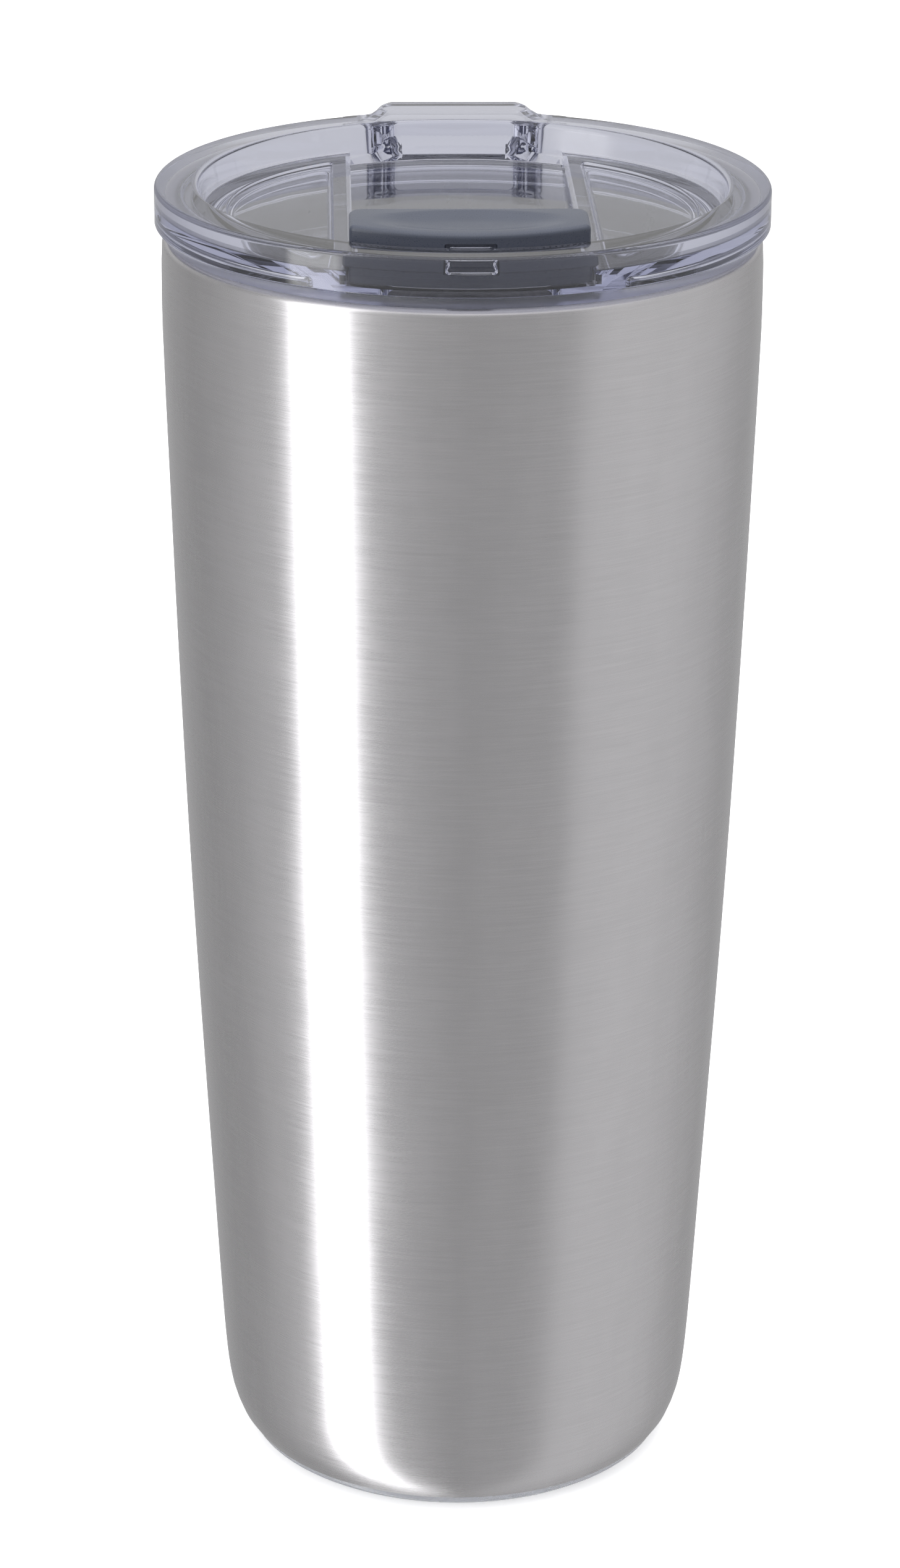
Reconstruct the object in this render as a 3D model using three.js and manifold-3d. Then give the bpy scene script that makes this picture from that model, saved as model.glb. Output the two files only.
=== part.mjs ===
// Double-walled vacuum tumbler with a clear press-in lid and a sliding closure.
// Millimetres, +Z up. The origin is the centre of the foot's resting face.
// The slider is on the -Y side and the lift tab is on the +Y side.
import * as THREE from 'three';
import { mergeVertices } from 'three/addons/utils/BufferGeometryUtils.js';
import Module from 'manifold-3d';

const wasm = await Module();
wasm.setup();

// ---------- driving dimensions ----------
const SEG = 48;              // facets round a full turn

const STEEL_IN = 0.45;       // liner wall thickness; the outer wall is 0.5
const RIM_TOP = 196.1;       // top of the rounded steel rim
const BORE_R = 42.35;        // liner bore where the lid seals

const PAD_H = 1.9;           // silicone foot height
const PAD_R0 = 31.8;         // foot radius at the resting face
const PAD_R1 = 33.3;         // foot radius under the steel

const LID_R = 45.5;          // lid rim, outer radius
const LID_TOP = 204.08;      // lid rim, top face
const LID_UNDER = 196.4;     // lid rim, underside
const WALL_R0 = 38.0;        // inner wall of the lid rim at the channel floor
const WALL_R1 = 38.3;        // and at the deck; it leans out to 39.0 below the rounded edge
const DECK_Z = 200.0;        // rails and border band
const PANEL_Z = 199.4;       // floor of the two side panels
const FLOOR_Z = 198.0;       // channel floor
const PLATE_T = 2.0;         // plate thickness
const CHAN_HW = 16.4;        // channel half width
const RAIL_HW = 19.2;        // outer face of the rails
const PANEL_R = 35.4;        // side panel outline radius
const SIDE_BAY_R = 34.5;     // hollow under the side panels
const SKIRT_R = 41.3;        // plug skirt outer radius
const SKIRT_RI = 38.0;       // plug skirt inner radius
const SKIRT_Z = 185.2;       // bottom of the skirt
const GROOVE_R = 39.8;       // gasket groove floor
const GROOVE_Z0 = 187.0;
const GROOVE_Z1 = 192.8;

const TAB_Y = 53.3;          // end of the lift tab
const TAB_HW = 11.2;         // half width at its end
const TAB_Z0 = 196.9;        // underside of the tab

const SL_TOP = 206.0;        // slider top
const SL_BOT = 198.3;        // slider underside
const SL_R = 37.8;           // slider front face radius
const SL_REAR = -24.4;       // slider rear face
const SL_HW = 17.0;          // half width above the rails
const SL_HW_LOW = 16.1;      // half width between the rails

// ---------- materials ----------
const std = (color, roughness, metalness, opacity = 1) => {
  const m = new THREE.MeshStandardMaterial({ color, roughness, metalness });
  if (opacity < 1) { m.transparent = true; m.opacity = opacity; }
  return m;
};
const brushed = std(0xa9a8a6, 0.32, 1.0);
const steel = std(0x9c9b99, 0.38, 1.0);
const clearPlastic = std(0xcfd2de, 0.08, 0.0, 0.4);
const silicone = std(0xd5d8dc, 0.45, 0.0, 0.6);
const greyPlastic = std(0x565d6b, 0.38, 0.0);
const greySeal = std(0x484e5a, 0.55, 0.0);
const beadGlass = std(0x6d6a60, 0.25, 0.0);
const getterMetal = std(0x7b7c7e, 0.55, 0.8);

// ---------- helpers ----------
// A profile of [r, z] pairs turned about Z.
function lathe(pts, seg = SEG) {
  const g = new THREE.LatheGeometry(pts.map(([r, z]) => new THREE.Vector2(r, z)), seg);
  g.rotateX(Math.PI / 2);
  return g;
}
// A closed ring profile: the first point is repeated at the end.
const ring = (pts, seg = SEG) => lathe([...pts, pts[0]], seg);

// A shape in the XY plane lifted from z0 to z1.
function prism(shape, z0, z1, curveSegments = 12) {
  const g = new THREE.ExtrudeGeometry(shape, { depth: z1 - z0, bevelEnabled: false, curveSegments });
  g.translate(0, 0, z0);
  return g;
}
function block(x0, x1, y0, y1, z0, z1) {
  const g = new THREE.BoxGeometry(x1 - x0, y1 - y0, z1 - z0);
  g.translate((x0 + x1) / 2, (y0 + y1) / 2, (z0 + z1) / 2);
  return g;
}
function disc(r, z0, z1, seg = SEG) {
  return lathe([[0, z0], [r, z0], [r, z1], [0, z1]], seg);
}
// Geometry to solid, with the winding put right where needed.
function solid(geometry) {
  let g = geometry.clone();
  g.deleteAttribute('normal');
  g.deleteAttribute('uv');
  g = mergeVertices(g, 1e-5);
  const pos = g.getAttribute('position');
  const idx = g.getIndex().array;
  const keep = [];
  let vol = 0;
  const a = new THREE.Vector3(), b = new THREE.Vector3(), c = new THREE.Vector3();
  for (let i = 0; i < idx.length; i += 3) {
    const [p, q, r] = [idx[i], idx[i + 1], idx[i + 2]];
    if (p === q || q === r || r === p) continue;
    a.fromBufferAttribute(pos, p); b.fromBufferAttribute(pos, q); c.fromBufferAttribute(pos, r);
    vol += a.dot(b.clone().cross(c));
    keep.push(p, q, r);
  }
  if (vol < 0) for (let i = 0; i < keep.length; i += 3) [keep[i], keep[i + 1]] = [keep[i + 1], keep[i]];
  return new wasm.Manifold(new wasm.Mesh({
    numProp: 3,
    vertProperties: new Float32Array(pos.array),
    triVerts: new Uint32Array(keep),
  }));
}
function toGeometry(m) {
  const mesh = m.getMesh();
  const n = mesh.numProp;
  const count = mesh.vertProperties.length / n;
  const out = new Float32Array(count * 3);
  for (let i = 0; i < count; i++) for (let k = 0; k < 3; k++) out[i * 3 + k] = mesh.vertProperties[i * n + k];
  const g = new THREE.BufferGeometry();
  g.setAttribute('position', new THREE.BufferAttribute(out, 3));
  g.setIndex(new THREE.BufferAttribute(new Uint32Array(mesh.triVerts), 1));
  g.computeVertexNormals();
  return g;
}

const tumbler = new THREE.Group();
const cup = new THREE.Group();
const lid = new THREE.Group();
tumbler.add(cup, lid);
function piece(group, name, geometry, material) {
  const m = new THREE.Mesh(geometry, material);
  m.name = name;
  group.add(m);
  return m;
}

// ---------- cup ----------
// Outer wall, from the foot up to the rim. The sides bow out slightly.
const outerWall = [
  [33.9, 2.2], [34.85, 3.4], [35.7, 5.5], [36.42, 8], [36.92, 12], [37.55, 20],
  [38.67, 40], [40.31, 70], [41.97, 105], [43.27, 140], [44.23, 170], [44.59, 186],
  [44.45, 194.3],
];
// The rim rolls over the liner's edge, where the real walls are welded.
const rimRoll = [[44.1, 195.4], [43.5, 195.98], [42.95, RIM_TOP], [42.55, 195.95], [42.4, 195.6], [43.0, 195.55], [43.5, 195.2]];
const outerInside = [
  [43.94, 194.2], [44.08, 186], [43.72, 170], [42.76, 140], [41.46, 105], [39.8, 70],
  [38.16, 40], [37.04, 20], [36.42, 12], [35.9, 8], [35.15, 5.4], [34.2, 3.4], [33.8, 2.9],
  [30.6, 2.9], [30.6, 2.2],
];
piece(cup, 'outer_shell', toGeometry(solid(ring([...outerWall, ...rimRoll, ...outerInside]))), brushed);

// Inner cup, with the straight bore that the lid seals in.
const linerInside = [
  [0, 9.0], [26.0, 9.0], [30.8, 10.6], [33.2, 15], [33.9, 24], [35.0, 45], [36.55, 75],
  [38.2, 110], [39.6, 145], [40.7, 172], [41.35, 178.5], [BORE_R, 183], [BORE_R, 195.2],
];
const linerOutside = [
  [BORE_R + STEEL_IN, 195.2], [BORE_R + STEEL_IN, 182.87], [41.8, 178.35], [41.15, 171.85], [40.05, 145],
  [38.65, 110], [37.0, 75], [35.45, 45], [34.35, 24], [33.64, 14.85], [31.0, 10.18], [26.07, 8.55], [0, 8.55],
];
piece(cup, 'inner_liner', toGeometry(solid(lathe([...linerInside, ...linerOutside]))), steel);

// Steel disc that closes the vacuum space, with the port in its dimple.
piece(cup, 'outer_bottom', toGeometry(solid(ring([
  [1.2, 5.4], [6.6, 5.4], [8.6, 3.3], [33.2, 3.3], [33.55, 4.0], [9.0, 4.0], [7.0, 6.1], [1.2, 6.1],
]))), steel);
// Sealing bead under the port.
piece(cup, 'vacuum_seal', toGeometry(solid(lathe([
  [0, 3.9], [1.8, 4.1], [2.9, 4.6], [3.1, 5.1], [0, 5.1],
], 20))), beadGlass);
// Getter pellet in the vacuum space.
const getter = lathe([[0, 4.3], [4.2, 4.3], [4.5, 4.6], [4.5, 6.0], [4.1, 6.4], [0, 6.4]], 20);
getter.translate(20, 0, 0);
piece(cup, 'getter', toGeometry(solid(getter)), getterMetal);
// Cover that hides the port.
piece(cup, 'base_cover', toGeometry(solid(lathe([
  [0, 2.2], [30.3, 2.2], [30.3, 2.9], [0, 2.9],
]))), brushed);
// Clear silicone foot with two shallow grooves underneath.
piece(cup, 'base_pad', toGeometry(solid(lathe([
  [0, 0], [17.0, 0], [17.4, 0.5], [19.6, 0.5], [20.0, 0], [26.0, 0], [26.4, 0.5], [28.4, 0.5], [28.8, 0],
  [PAD_R0 - 0.3, 0], [PAD_R0, 0.25], [PAD_R1, 1.3], [PAD_R1, PAD_H], [0, PAD_H],
]))), silicone);

// ---------- lid body ----------
let body = solid(lathe([
  [0, SKIRT_Z], [SKIRT_R - 0.7, SKIRT_Z], [SKIRT_R, SKIRT_Z + 0.8], [SKIRT_R, GROOVE_Z0], [GROOVE_R, GROOVE_Z0],
  [GROOVE_R, GROOVE_Z1], [SKIRT_R, GROOVE_Z1], [SKIRT_R, LID_UNDER], [43.8, LID_UNDER], [44.7, 197.2],
  [LID_R, 198.5], [LID_R, 203.4], [LID_R - 0.7, LID_TOP], [0, LID_TOP],
]));

// Lift tab: a flat lug with round corners and filleted roots.
const tabShape = new THREE.Shape();
tabShape.moveTo(-10, 38);
tabShape.lineTo(-16.6, 42.2);
tabShape.quadraticCurveTo(-13.9, 43.6, -12.9, 46.4);
tabShape.lineTo(-12.0, 50.0);
tabShape.quadraticCurveTo(-TAB_HW, TAB_Y, -8.2, TAB_Y);
tabShape.lineTo(8.2, TAB_Y);
tabShape.quadraticCurveTo(TAB_HW, TAB_Y, 12.0, 50.0);
tabShape.lineTo(12.9, 46.4);
tabShape.quadraticCurveTo(13.9, 43.6, 16.6, 42.2);
tabShape.lineTo(10, 38);
tabShape.closePath();
let tab = solid(prism(tabShape, TAB_Z0, LID_TOP, 5));
body = body.add(tab);

// Recess inside the rim, down to the deck.
body = body.subtract(solid(lathe([
  [0, DECK_Z], [WALL_R1, DECK_Z], [39.0, 203.08], [39.3, 203.78], [40.0, LID_TOP - 0.01], [40.0, LID_TOP + 2], [0, LID_TOP + 2],
])));
// Two side panels, sunk below the deck.
const sides = solid(block(-60, -RAIL_HW, -60, 60, 150, 230)).add(solid(block(RAIL_HW, 60, -60, 60, 150, 230)));
body = body.subtract(solid(disc(PANEL_R, PANEL_Z, DECK_Z + 1)).intersect(sides));
// Channel between the rails, with an undercut that holds the slider down.
const channelRound = solid(lathe([[0, FLOOR_Z], [WALL_R0, FLOOR_Z], [WALL_R1 - 0.02, DECK_Z], [WALL_R1 + 0.06, DECK_Z + 0.5], [0, DECK_Z + 0.5]]));
body = body.subtract(channelRound.intersect(solid(block(-CHAN_HW, CHAN_HW, -60, 60, FLOOR_Z, DECK_Z + 1))));
body = body.subtract(solid(block(-CHAN_HW - 0.7, CHAN_HW + 0.7, -33.4, 33.0, FLOOR_Z, FLOOR_Z + 1.35)));
// Hollow underside, higher under the side panels, with a rib under each rail.
const plateZ = FLOOR_Z - PLATE_T;
const hollow = solid(disc(SKIRT_RI, SKIRT_Z - 2, plateZ));
const ribs = solid(block(-RAIL_HW, -CHAN_HW, -60, 60, 192.5, 230)).add(solid(block(CHAN_HW, RAIL_HW, -60, 60, 192.5, 230)));
body = body.subtract(hollow.subtract(ribs));
const underSides = solid(block(-60, -RAIL_HW, -60, 60, 150, 230)).add(solid(block(RAIL_HW, 60, -60, 60, 150, 230)));
body = body.subtract(solid(disc(SIDE_BAY_R, plateZ - 0.8, PANEL_Z - 1.7)).intersect(underSides));
// Mouth opening under the slider.
body = body.subtract(
  solid(disc(35.2, 194, 199)).subtract(solid(disc(29.3, 193, 200)))
    .intersect(solid(block(-11.5, 11.5, -60, 0, 150, 230))));
// Detent tongue on the front wall.
const tongue = solid(block(-3.2, 3.2, -40.4, -37.0, 200.6, 203.6)).add(solid(block(-3.45, 3.45, -40.4, -37.0, 200.6, 201.4)));
body = body.add(tongue.intersect(solid(disc(40.5, 190, 210))));
piece(lid, 'lid_body', toGeometry(body), clearPlastic);

// Silicone ring in the skirt's groove, with two sealing fins.
piece(lid, 'lid_gasket', toGeometry(solid(ring([
  [40.1, 187.3], [41.1, 187.3], [41.2, 187.85], [42.05, 188.5], [42.05, 189.05], [41.2, 189.15], [41.2, 190.5],
  [42.05, 191.15], [42.05, 191.7], [41.2, 191.8], [41.1, 192.5], [40.1, 192.5],
]))), silicone);

// ---------- slider ----------
// Plan outline with a round front that follows the rim's wall.
function sliderPlan(hw, r, rear, corner) {
  const s = new THREE.Shape();
  const a = Math.asin(hw / r);
  s.moveTo(-hw, rear);
  s.lineTo(-hw, -r * Math.cos(a) + corner);
  const n = 10;
  for (let i = 0; i <= n; i++) {
    const t = -a * 0.93 + (2 * a * 0.93) * i / n;
    s.lineTo(r * Math.sin(t), -r * Math.cos(t));
  }
  s.lineTo(hw, -r * Math.cos(a) + corner);
  s.lineTo(hw, rear);
  s.closePath();
  return s;
}
const topBlock = new THREE.ExtrudeGeometry(sliderPlan(SL_HW - 0.5, SL_R - 0.5, SL_REAR - 0.5, 1.6), {
  depth: SL_TOP - 200.35 - 1.0, bevelEnabled: true, bevelThickness: 0.5, bevelSize: 0.5, bevelSegments: 2, curveSegments: 10,
});
topBlock.translate(0, 0, 200.35 + 0.5);
let slider = solid(topBlock);
slider = slider.add(solid(prism(sliderPlan(SL_HW_LOW, SL_R - 0.1, SL_REAR - 0.4, 1.2), SL_BOT, 201.2)));
slider = slider.add(solid(block(-16.8, 16.8, -32.8, SL_REAR - 0.4, SL_BOT, SL_BOT + 0.8)));
// The top falls slightly towards the front.
const fall = block(-20, 20, -42, -28, SL_TOP, SL_TOP + 2);
const fallPos = fall.getAttribute('position');
for (let i = 0; i < fallPos.count; i++) if (fallPos.getY(i) < -40 && fallPos.getZ(i) < SL_TOP + 1) fallPos.setZ(i, SL_TOP - 0.8);
slider = slider.subtract(solid(fall));
// Finger scoop in the top.
const scoop = new THREE.SphereGeometry(70, 96, 64);
scoop.scale(1, 0.55, 1);
scoop.translate(0, -31.6, SL_TOP + 70 - 0.8);
slider = slider.subtract(solid(scoop));
// Notch for the detent tongue, and the pocket for the seal pad.
slider = slider.subtract(solid(block(-3.75, 3.75, -45, -36.3, 200.2, 204.1)));
slider = slider.subtract(solid(prism(sliderPlan(14.3, 36.2, -26.2, 1.0), 190, 199.7)));
piece(lid, 'slider', toGeometry(slider), greyPlastic);

// Silicone pad that closes the mouth opening.
piece(lid, 'slider_seal', toGeometry(solid(prism(sliderPlan(14.0, 35.9, -26.5, 1.0), SL_BOT, 199.4))), greySeal);

export default tumbler;
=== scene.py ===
import bpy, bmesh, math
import numpy as np
from mathutils import Matrix, Vector


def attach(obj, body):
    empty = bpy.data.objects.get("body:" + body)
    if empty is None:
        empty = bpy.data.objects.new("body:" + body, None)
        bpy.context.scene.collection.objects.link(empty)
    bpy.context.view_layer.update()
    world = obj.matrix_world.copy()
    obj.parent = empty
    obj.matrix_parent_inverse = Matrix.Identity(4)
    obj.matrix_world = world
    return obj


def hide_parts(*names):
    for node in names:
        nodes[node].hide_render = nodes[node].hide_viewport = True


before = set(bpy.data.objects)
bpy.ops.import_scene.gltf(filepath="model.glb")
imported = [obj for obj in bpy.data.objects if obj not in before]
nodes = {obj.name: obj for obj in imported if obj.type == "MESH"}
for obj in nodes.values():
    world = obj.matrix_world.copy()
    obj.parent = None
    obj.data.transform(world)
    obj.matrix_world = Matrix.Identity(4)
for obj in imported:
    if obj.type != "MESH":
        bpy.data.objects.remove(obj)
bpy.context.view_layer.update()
MM = 0.001          # meshes are drawn and cut in millimetres, then brought to metres
scene = bpy.context.scene

# ------------------------------------------------------------------ geometry helpers
def fillet(path, seg=5):
    """path: (x, y, radius) corners of an open polyline. Returns points with the corners rounded."""
    out = []
    n = len(path)
    for i, p in enumerate(path):
        x, y = p[0], p[1]
        r = p[2] if len(p) > 2 else 0.0
        if r <= 0 or i in (0, n - 1):
            out.append((x, y)); continue
        a = np.array(path[i - 1][:2], float) - (x, y)
        b = np.array(path[i + 1][:2], float) - (x, y)
        la, lb = np.linalg.norm(a), np.linalg.norm(b)
        a /= la; b /= lb
        cosang = float(np.clip(a @ b, -1, 1))
        ang = math.acos(cosang)
        if ang > math.pi - 0.02:
            out.append((x, y)); continue
        d = min(r / math.tan(ang / 2), 0.499 * la, 0.499 * lb)
        rr = d * math.tan(ang / 2)
        p0 = np.array((x, y)) + a * d
        p1 = np.array((x, y)) + b * d
        bis = (a + b) / np.linalg.norm(a + b)
        c = np.array((x, y)) + bis * (rr / math.sin(ang / 2))
        v0, v1 = p0 - c, p1 - c
        t0 = math.atan2(v0[1], v0[0]); t1 = math.atan2(v1[1], v1[0])
        dt = (t1 - t0 + math.pi) % (2 * math.pi) - math.pi
        k = max(2, int(round(seg * abs(dt) / (math.pi / 2))) + 1)
        for j in range(k + 1):
            t = t0 + dt * j / k
            out.append((c[0] + rr * math.cos(t), c[1] + rr * math.sin(t)))
    return out

def smooth_curve(pts, n):
    """Monotone cubic through (z, r) pairs."""
    z = np.array([p[0] for p in pts], float); r = np.array([p[1] for p in pts], float)
    h = np.diff(z); d = np.diff(r) / h
    m = np.zeros(len(z))
    for i in range(1, len(z) - 1):
        if d[i - 1] * d[i] > 0:
            w1 = 2 * h[i] + h[i - 1]; w2 = h[i] + 2 * h[i - 1]
            m[i] = (w1 + w2) / (w1 / d[i - 1] + w2 / d[i])
    m[0], m[-1] = d[0], d[-1]
    q = np.linspace(z[0], z[-1], n)
    i = np.clip(np.searchsorted(z, q, side="right") - 1, 0, len(h) - 1)
    t = (q - z[i]) / h[i]
    v = (2*t**3 - 3*t**2 + 1) * r[i] + (t**3 - 2*t**2 + t) * h[i] * m[i] + (-2*t**3 + 3*t**2) * r[i+1] + (t**3 - t**2) * h[i] * m[i+1]
    return [(float(a), float(b)) for a, b in zip(v, q)]      # (r, z)

def mesh_object(name, verts, faces):
    me = bpy.data.meshes.new(name)
    me.from_pydata([tuple(v) for v in verts], [], [tuple(f) for f in faces])
    me.validate()
    me.update()
    ob = bpy.data.objects.new(name, me)
    scene.collection.objects.link(ob)
    return ob

def fix_normals(ob):
    bm = bmesh.new(); bm.from_mesh(ob.data)
    bmesh.ops.remove_doubles(bm, verts=bm.verts, dist=1e-5)
    bmesh.ops.recalc_face_normals(bm, faces=bm.faces)
    bm.to_mesh(ob.data); bm.free(); ob.data.update()

def lathe(name, profile, seg=256):
    """profile: (r, z) in mm, closed. Points with r = 0 become poles."""
    pts = [(max(0.0, r), z) for r, z in profile]
    verts, rows = [], []
    for r, z in pts:
        if r < 1e-9:
            verts.append((0, 0, z)); rows.append([len(verts) - 1])
        else:
            base = len(verts)
            for i in range(seg):
                a = 2 * math.pi * i / seg
                verts.append((r * math.cos(a), r * math.sin(a), z))
            rows.append(list(range(base, base + seg)))
    faces = []
    n = len(rows)
    for k in range(n):
        A, B = rows[k], rows[(k + 1) % n]
        if len(A) == 1 and len(B) == 1:
            continue
        for i in range(seg):
            j = (i + 1) % seg
            if len(A) == 1:
                faces.append((A[0], B[j], B[i]))
            elif len(B) == 1:
                faces.append((A[i], A[j], B[0]))
            else:
                faces.append((A[i], A[j], B[j], B[i]))
    ob = mesh_object(name, verts, faces)
    fix_normals(ob)
    return ob

def outline_round(corners, seg=8):
    """Closed 2D outline with rounded corners: (x, y, radius)."""
    n = len(corners)
    pts = []
    for i in range(n):
        tri = [corners[i - 1], corners[i], corners[(i + 1) % n]]
        f = fillet([(tri[0][0], tri[0][1]), tri[1], (tri[2][0], tri[2][1])], seg)
        pts += f[1:-1]
    return pts

def dense(pts, step):
    out = []
    n = len(pts)
    for i in range(n):
        a = np.array(pts[i]); b = np.array(pts[(i + 1) % n])
        k = max(1, int(np.linalg.norm(b - a) / step))
        for j in range(k):
            out.append(tuple(a + (b - a) * j / k))
    return out

def normals2d(pts):
    P = np.array(pts, float)
    nx = np.roll(P, -1, 0) - np.roll(P, 1, 0)
    N = np.stack([nx[:, 1], -nx[:, 0]], 1)
    N /= np.linalg.norm(N, axis=1)[:, None] + 1e-12
    area = 0.5 * np.sum(P[:, 0] * np.roll(P[:, 1], -1) - np.roll(P[:, 0], -1) * P[:, 1])
    return P, (N if area > 0 else -N)

def loft(name, outline, profile, caps=True, z_of=None, rings=0, weight=None):
    """Stack of one outline, offset outwards by profile's (offset, z) in mm.
    rings > 0 fills the top with that many shrinking rings, whose height comes from z_of(x, y, z).
    weight(x, y) fades the offset, where the outline is buried in another body."""
    P, N = normals2d(outline)
    if weight:
        N = N * np.array([weight(x, y) for x, y in P])[:, None]
    n = len(P)
    verts, faces = [], []
    for off, z in profile:
        Q = P + N * off
        for q in Q:
            zz = z_of(q[0], q[1], z) if z_of else z
            verts.append((q[0], q[1], zz))
    m = len(profile)
    for k in range(m - 1):
        for i in range(n):
            j = (i + 1) % n
            faces.append((k*n + i, k*n + j, (k+1)*n + j, (k+1)*n + i))
    if caps:
        faces.append(tuple(reversed(range(n))))
        if rings:
            off, z = profile[-1]
            Q = P + N * off
            c = Q.mean(0)
            prev = (m - 1) * n
            for s in range(1, rings):
                f = 1 - s / rings
                base = len(verts)
                for q in c + (Q - c) * f:
                    verts.append((q[0], q[1], z_of(q[0], q[1], z) if z_of else z))
                for i in range(n):
                    j = (i + 1) % n
                    faces.append((prev + i, prev + j, base + j, base + i))
                prev = base
            verts.append((c[0], c[1], z_of(c[0], c[1], z) if z_of else z))
            for i in range(n):
                faces.append((prev + i, prev + (i + 1) % n, len(verts) - 1))
        else:
            faces.append(tuple(range((m - 1) * n, m * n)))
    ob = mesh_object(name, verts, faces)
    fix_normals(ob)
    return ob

def boolean(ob, other, op):
    mod = ob.modifiers.new("b", "BOOLEAN")
    mod.operation = op
    mod.solver = "EXACT"
    mod.object = other
    bpy.context.view_layer.update()
    dg = bpy.context.evaluated_depsgraph_get()
    me = bpy.data.meshes.new_from_object(ob.evaluated_get(dg))
    ob.modifiers.clear()
    old = ob.data
    ob.data = me
    bpy.data.meshes.remove(old)
    om = other.data
    bpy.data.objects.remove(other)
    bpy.data.meshes.remove(om)
    return ob

def finish_shading(ob, angle=32.0, weighted=True, merge=3e-4):
    bm = bmesh.new(); bm.from_mesh(ob.data)
    bmesh.ops.remove_doubles(bm, verts=bm.verts, dist=merge)
    bmesh.ops.dissolve_degenerate(bm, edges=bm.edges, dist=merge)
    lim = math.radians(angle)
    for f in bm.faces:
        f.smooth = True
    for e in bm.edges:
        if len(e.link_faces) == 2:
            e.smooth = e.calc_face_angle(0.0) < lim
        else:
            e.smooth = False
    bmesh.ops.scale(bm, vec=(MM, MM, MM), verts=bm.verts)
    bm.to_mesh(ob.data); bm.free()
    ob.data.update()
    if weighted:
        mod = ob.modifiers.new("wn", "WEIGHTED_NORMAL")
        mod.keep_sharp = True
        mod.weight = 50
        bpy.context.view_layer.update()
        dg = bpy.context.evaluated_depsgraph_get()
        me = bpy.data.meshes.new_from_object(ob.evaluated_get(dg), preserve_all_data_layers=True, depsgraph=dg)
        ob.modifiers.clear()
        ob.data = me
    return ob

# ------------------------------------------------------------------ material helpers
def new_mat(name):
    m = bpy.data.materials.new(name)
    m.use_nodes = True
    nt = m.node_tree
    return m, nt, nt.nodes["Principled BSDF"]

def node(nt, kind, **kw):
    n = nt.nodes.new(kind)
    for k, v in kw.items():
        setattr(n, k, v)
    return n

def ramp(nt, stops, interp="LINEAR"):
    r = nt.nodes.new("ShaderNodeValToRGB")
    cr = r.color_ramp
    cr.interpolation = interp
    while len(cr.elements) > 1:
        cr.elements.remove(cr.elements[-1])
    cr.elements[0].position = stops[0][0]
    cr.elements[0].color = stops[0][1]
    for p, c in stops[1:]:
        e = cr.elements.new(p); e.color = c
    return r

def ring_coords(nt, around, up, radial=0.0):
    """Coordinates that run round the axis without a seam: stretched round the body, tight along Z."""
    L = nt.links.new
    tc = node(nt, "ShaderNodeTexCoord")
    sep = node(nt, "ShaderNodeSeparateXYZ"); L(tc.outputs["Object"], sep.inputs[0])
    flat = node(nt, "ShaderNodeCombineXYZ"); L(sep.outputs[0], flat.inputs[0]); L(sep.outputs[1], flat.inputs[1])
    nrm = node(nt, "ShaderNodeVectorMath", operation="NORMALIZE"); L(flat.outputs[0], nrm.inputs[0])
    ln = node(nt, "ShaderNodeVectorMath", operation="LENGTH"); L(flat.outputs[0], ln.inputs[0])
    sc = node(nt, "ShaderNodeVectorMath", operation="SCALE"); L(nrm.outputs[0], sc.inputs[0]); sc.inputs["Scale"].default_value = around
    mz = node(nt, "ShaderNodeMath", operation="MULTIPLY"); L(sep.outputs[2], mz.inputs[0]); mz.inputs[1].default_value = up
    mr = node(nt, "ShaderNodeMath", operation="MULTIPLY_ADD"); L(ln.outputs["Value"], mr.inputs[0]); mr.inputs[1].default_value = radial; L(mz.outputs[0], mr.inputs[2])
    s2 = node(nt, "ShaderNodeSeparateXYZ"); L(sc.outputs[0], s2.inputs[0])
    out = node(nt, "ShaderNodeCombineXYZ"); L(s2.outputs[0], out.inputs[0]); L(s2.outputs[1], out.inputs[1]); L(mr.outputs[0], out.inputs[2])
    return out.outputs[0]

def noise(nt, vec, scale, detail=4.0, rough=0.55):
    n = node(nt, "ShaderNodeTexNoise"); n.inputs["Scale"].default_value = scale
    n.inputs["Detail"].default_value = detail; n.inputs["Roughness"].default_value = rough
    if vec is not None:
        nt.links.new(vec, n.inputs["Vector"])
    return n

def remap(nt, val, a, b, lo, hi):
    m = node(nt, "ShaderNodeMapRange"); nt.links.new(val, m.inputs["Value"])
    m.inputs["From Min"].default_value = a; m.inputs["From Max"].default_value = b
    m.inputs["To Min"].default_value = lo; m.inputs["To Max"].default_value = hi
    return m.outputs["Result"]

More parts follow.
